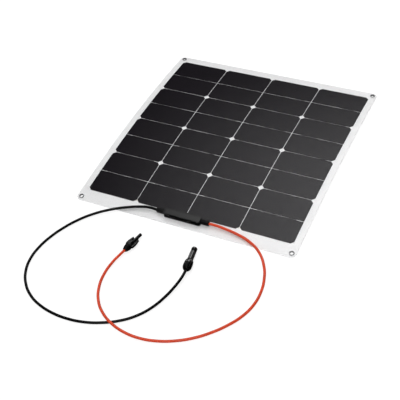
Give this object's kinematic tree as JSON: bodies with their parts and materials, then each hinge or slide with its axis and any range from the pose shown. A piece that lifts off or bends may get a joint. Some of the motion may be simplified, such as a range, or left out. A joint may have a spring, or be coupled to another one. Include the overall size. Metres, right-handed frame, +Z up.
{
  "type": "flexible solar sheet",
  "caption": "Thin semi-flexible photovoltaic sheet of square cells on a white laminate, with corner eyelets, a slim junction box and two plug-ended leads.",
  "frame": {"origin": "the middle of the sheet's plan, on the surface that it lies on", "axes": "+X to the right along the front edge, which is the one with the junction box; +Y to the back edge; +Z up, out of the cells' face"},
  "size_m": [0.5398, 0.8706, 0.0201],
  "materials": {
    "white_laminate": "smooth white fluoropolymer back sheet",
    "clear_encapsulant": "clear adhesive layer, seen as white over the back sheet",
    "clear_film": "thin clear polymer film with a soft gloss",
    "silicon": "near-black monocrystalline silicon, smooth",
    "tinned_copper": "tinned copper",
    "nickel": "nickel-plated brass, rolled",
    "black_plastic": "moulded black polymer, satin",
    "black_rubber": "black elastomer",
    "red_jacket": "red cable jacket, satin",
    "black_jacket": "black cable jacket, satin"
  },
  "bodies": {
    "sheet": {"back_sheet": "white_laminate", "encapsulant": "clear_encapsulant", "front_film": "clear_film", "half_cell_row_1_column_1": "silicon", "half_cell_row_1_column_2": "silicon", "half_cell_row_1_column_3": "silicon", "half_cell_row_1_column_4": "silicon", "half_cell_row_2_column_1": "silicon", "half_cell_row_2_column_2": "silicon", "half_cell_row_2_column_3": "silicon", "half_cell_row_2_column_4": "silicon", "half_cell_row_3_column_1": "silicon", "half_cell_row_3_column_2": "silicon", "half_cell_row_3_column_3": "silicon", "half_cell_row_3_column_4": "silicon", "half_cell_row_4_column_1": "silicon", "half_cell_row_4_column_2": "silicon", "half_cell_row_4_column_3": "silicon", "half_cell_row_4_column_4": "silicon", "half_cell_row_5_column_1": "silicon", "half_cell_row_5_column_2": "silicon", "half_cell_row_5_column_3": "silicon", "half_cell_row_5_column_4": "silicon", "half_cell_row_6_column_1": "silicon", "half_cell_row_6_column_2": "silicon", "half_cell_row_6_column_3": "silicon", "half_cell_row_6_column_4": "silicon", "half_cell_row_7_column_1": "silicon", "half_cell_row_7_column_2": "silicon", "half_cell_row_7_column_3": "silicon", "half_cell_row_7_column_4": "silicon", "half_cell_row_8_column_1": "silicon", "half_cell_row_8_column_2": "silicon", "half_cell_row_8_column_3": "silicon", "half_cell_row_8_column_4": "silicon", "eyelet_front_left": "nickel", "eyelet_front_right": "nickel", "eyelet_back_left": "nickel", "eyelet_back_right": "nickel", "junction_box_base": "black_plastic", "cover_seal": "black_rubber", "bypass_diode": "black_plastic", "positive_terminal": "tinned_copper", "negative_terminal": "tinned_copper", "positive_ribbon": "tinned_copper", "negative_ribbon": "tinned_copper", "positive_gland": "black_rubber", "negative_gland": "black_rubber", "positive_lead": "red_jacket", "negative_lead": "black_jacket", "probe_plug_housing": "black_plastic", "probe_plug_contact": "tinned_copper", "probe_plug_seal": "black_rubber", "shell_plug_housing": "black_plastic", "shell_plug_contact": "tinned_copper"},
    "box_cover": {"junction_box_cover": "black_plastic"},
    "probe_nut": {"probe_plug_nut": "black_plastic"},
    "shell_nut": {"shell_plug_nut": "black_plastic"},
    "finger_left": {"probe_plug_finger_left": "black_plastic"},
    "finger_right": {"probe_plug_finger_right": "black_plastic"}
  },
  "joints": [
    {"name": "cover_lift", "type": "slide", "parent": "sheet", "child": "box_cover", "axis": [0, -0.0934, 0.9956], "range_m": [0, 0.02]},
    {"name": "probe_nut_turn", "type": "hinge", "parent": "sheet", "child": "probe_nut", "pos_m": [-0.0789, -0.3875, 0.0081], "axis": [0.2215, 0.9751, 0], "range_deg": [0, 720]},
    {"name": "shell_nut_turn", "type": "hinge", "parent": "sheet", "child": "shell_nut", "pos_m": [0.0722, -0.3936, 0.01104], "axis": [-0.1629, 0.9839, -0.0734], "range_deg": [0, 720]},
    {"name": "finger_left_squeeze", "type": "hinge", "parent": "sheet", "child": "finger_left", "pos_m": [-0.08211, -0.3637, 0.0081], "axis": [0, 0, -1], "range_deg": [0, 5], "stiffness_Nm_per_rad": 0.05},
    {"name": "finger_right_squeeze", "type": "hinge", "parent": "sheet", "child": "finger_right", "pos_m": [-0.06572, -0.36742, 0.0081], "axis": [0, 0, 1], "range_deg": [0, 5], "stiffness_Nm_per_rad": 0.05}
  ]
}
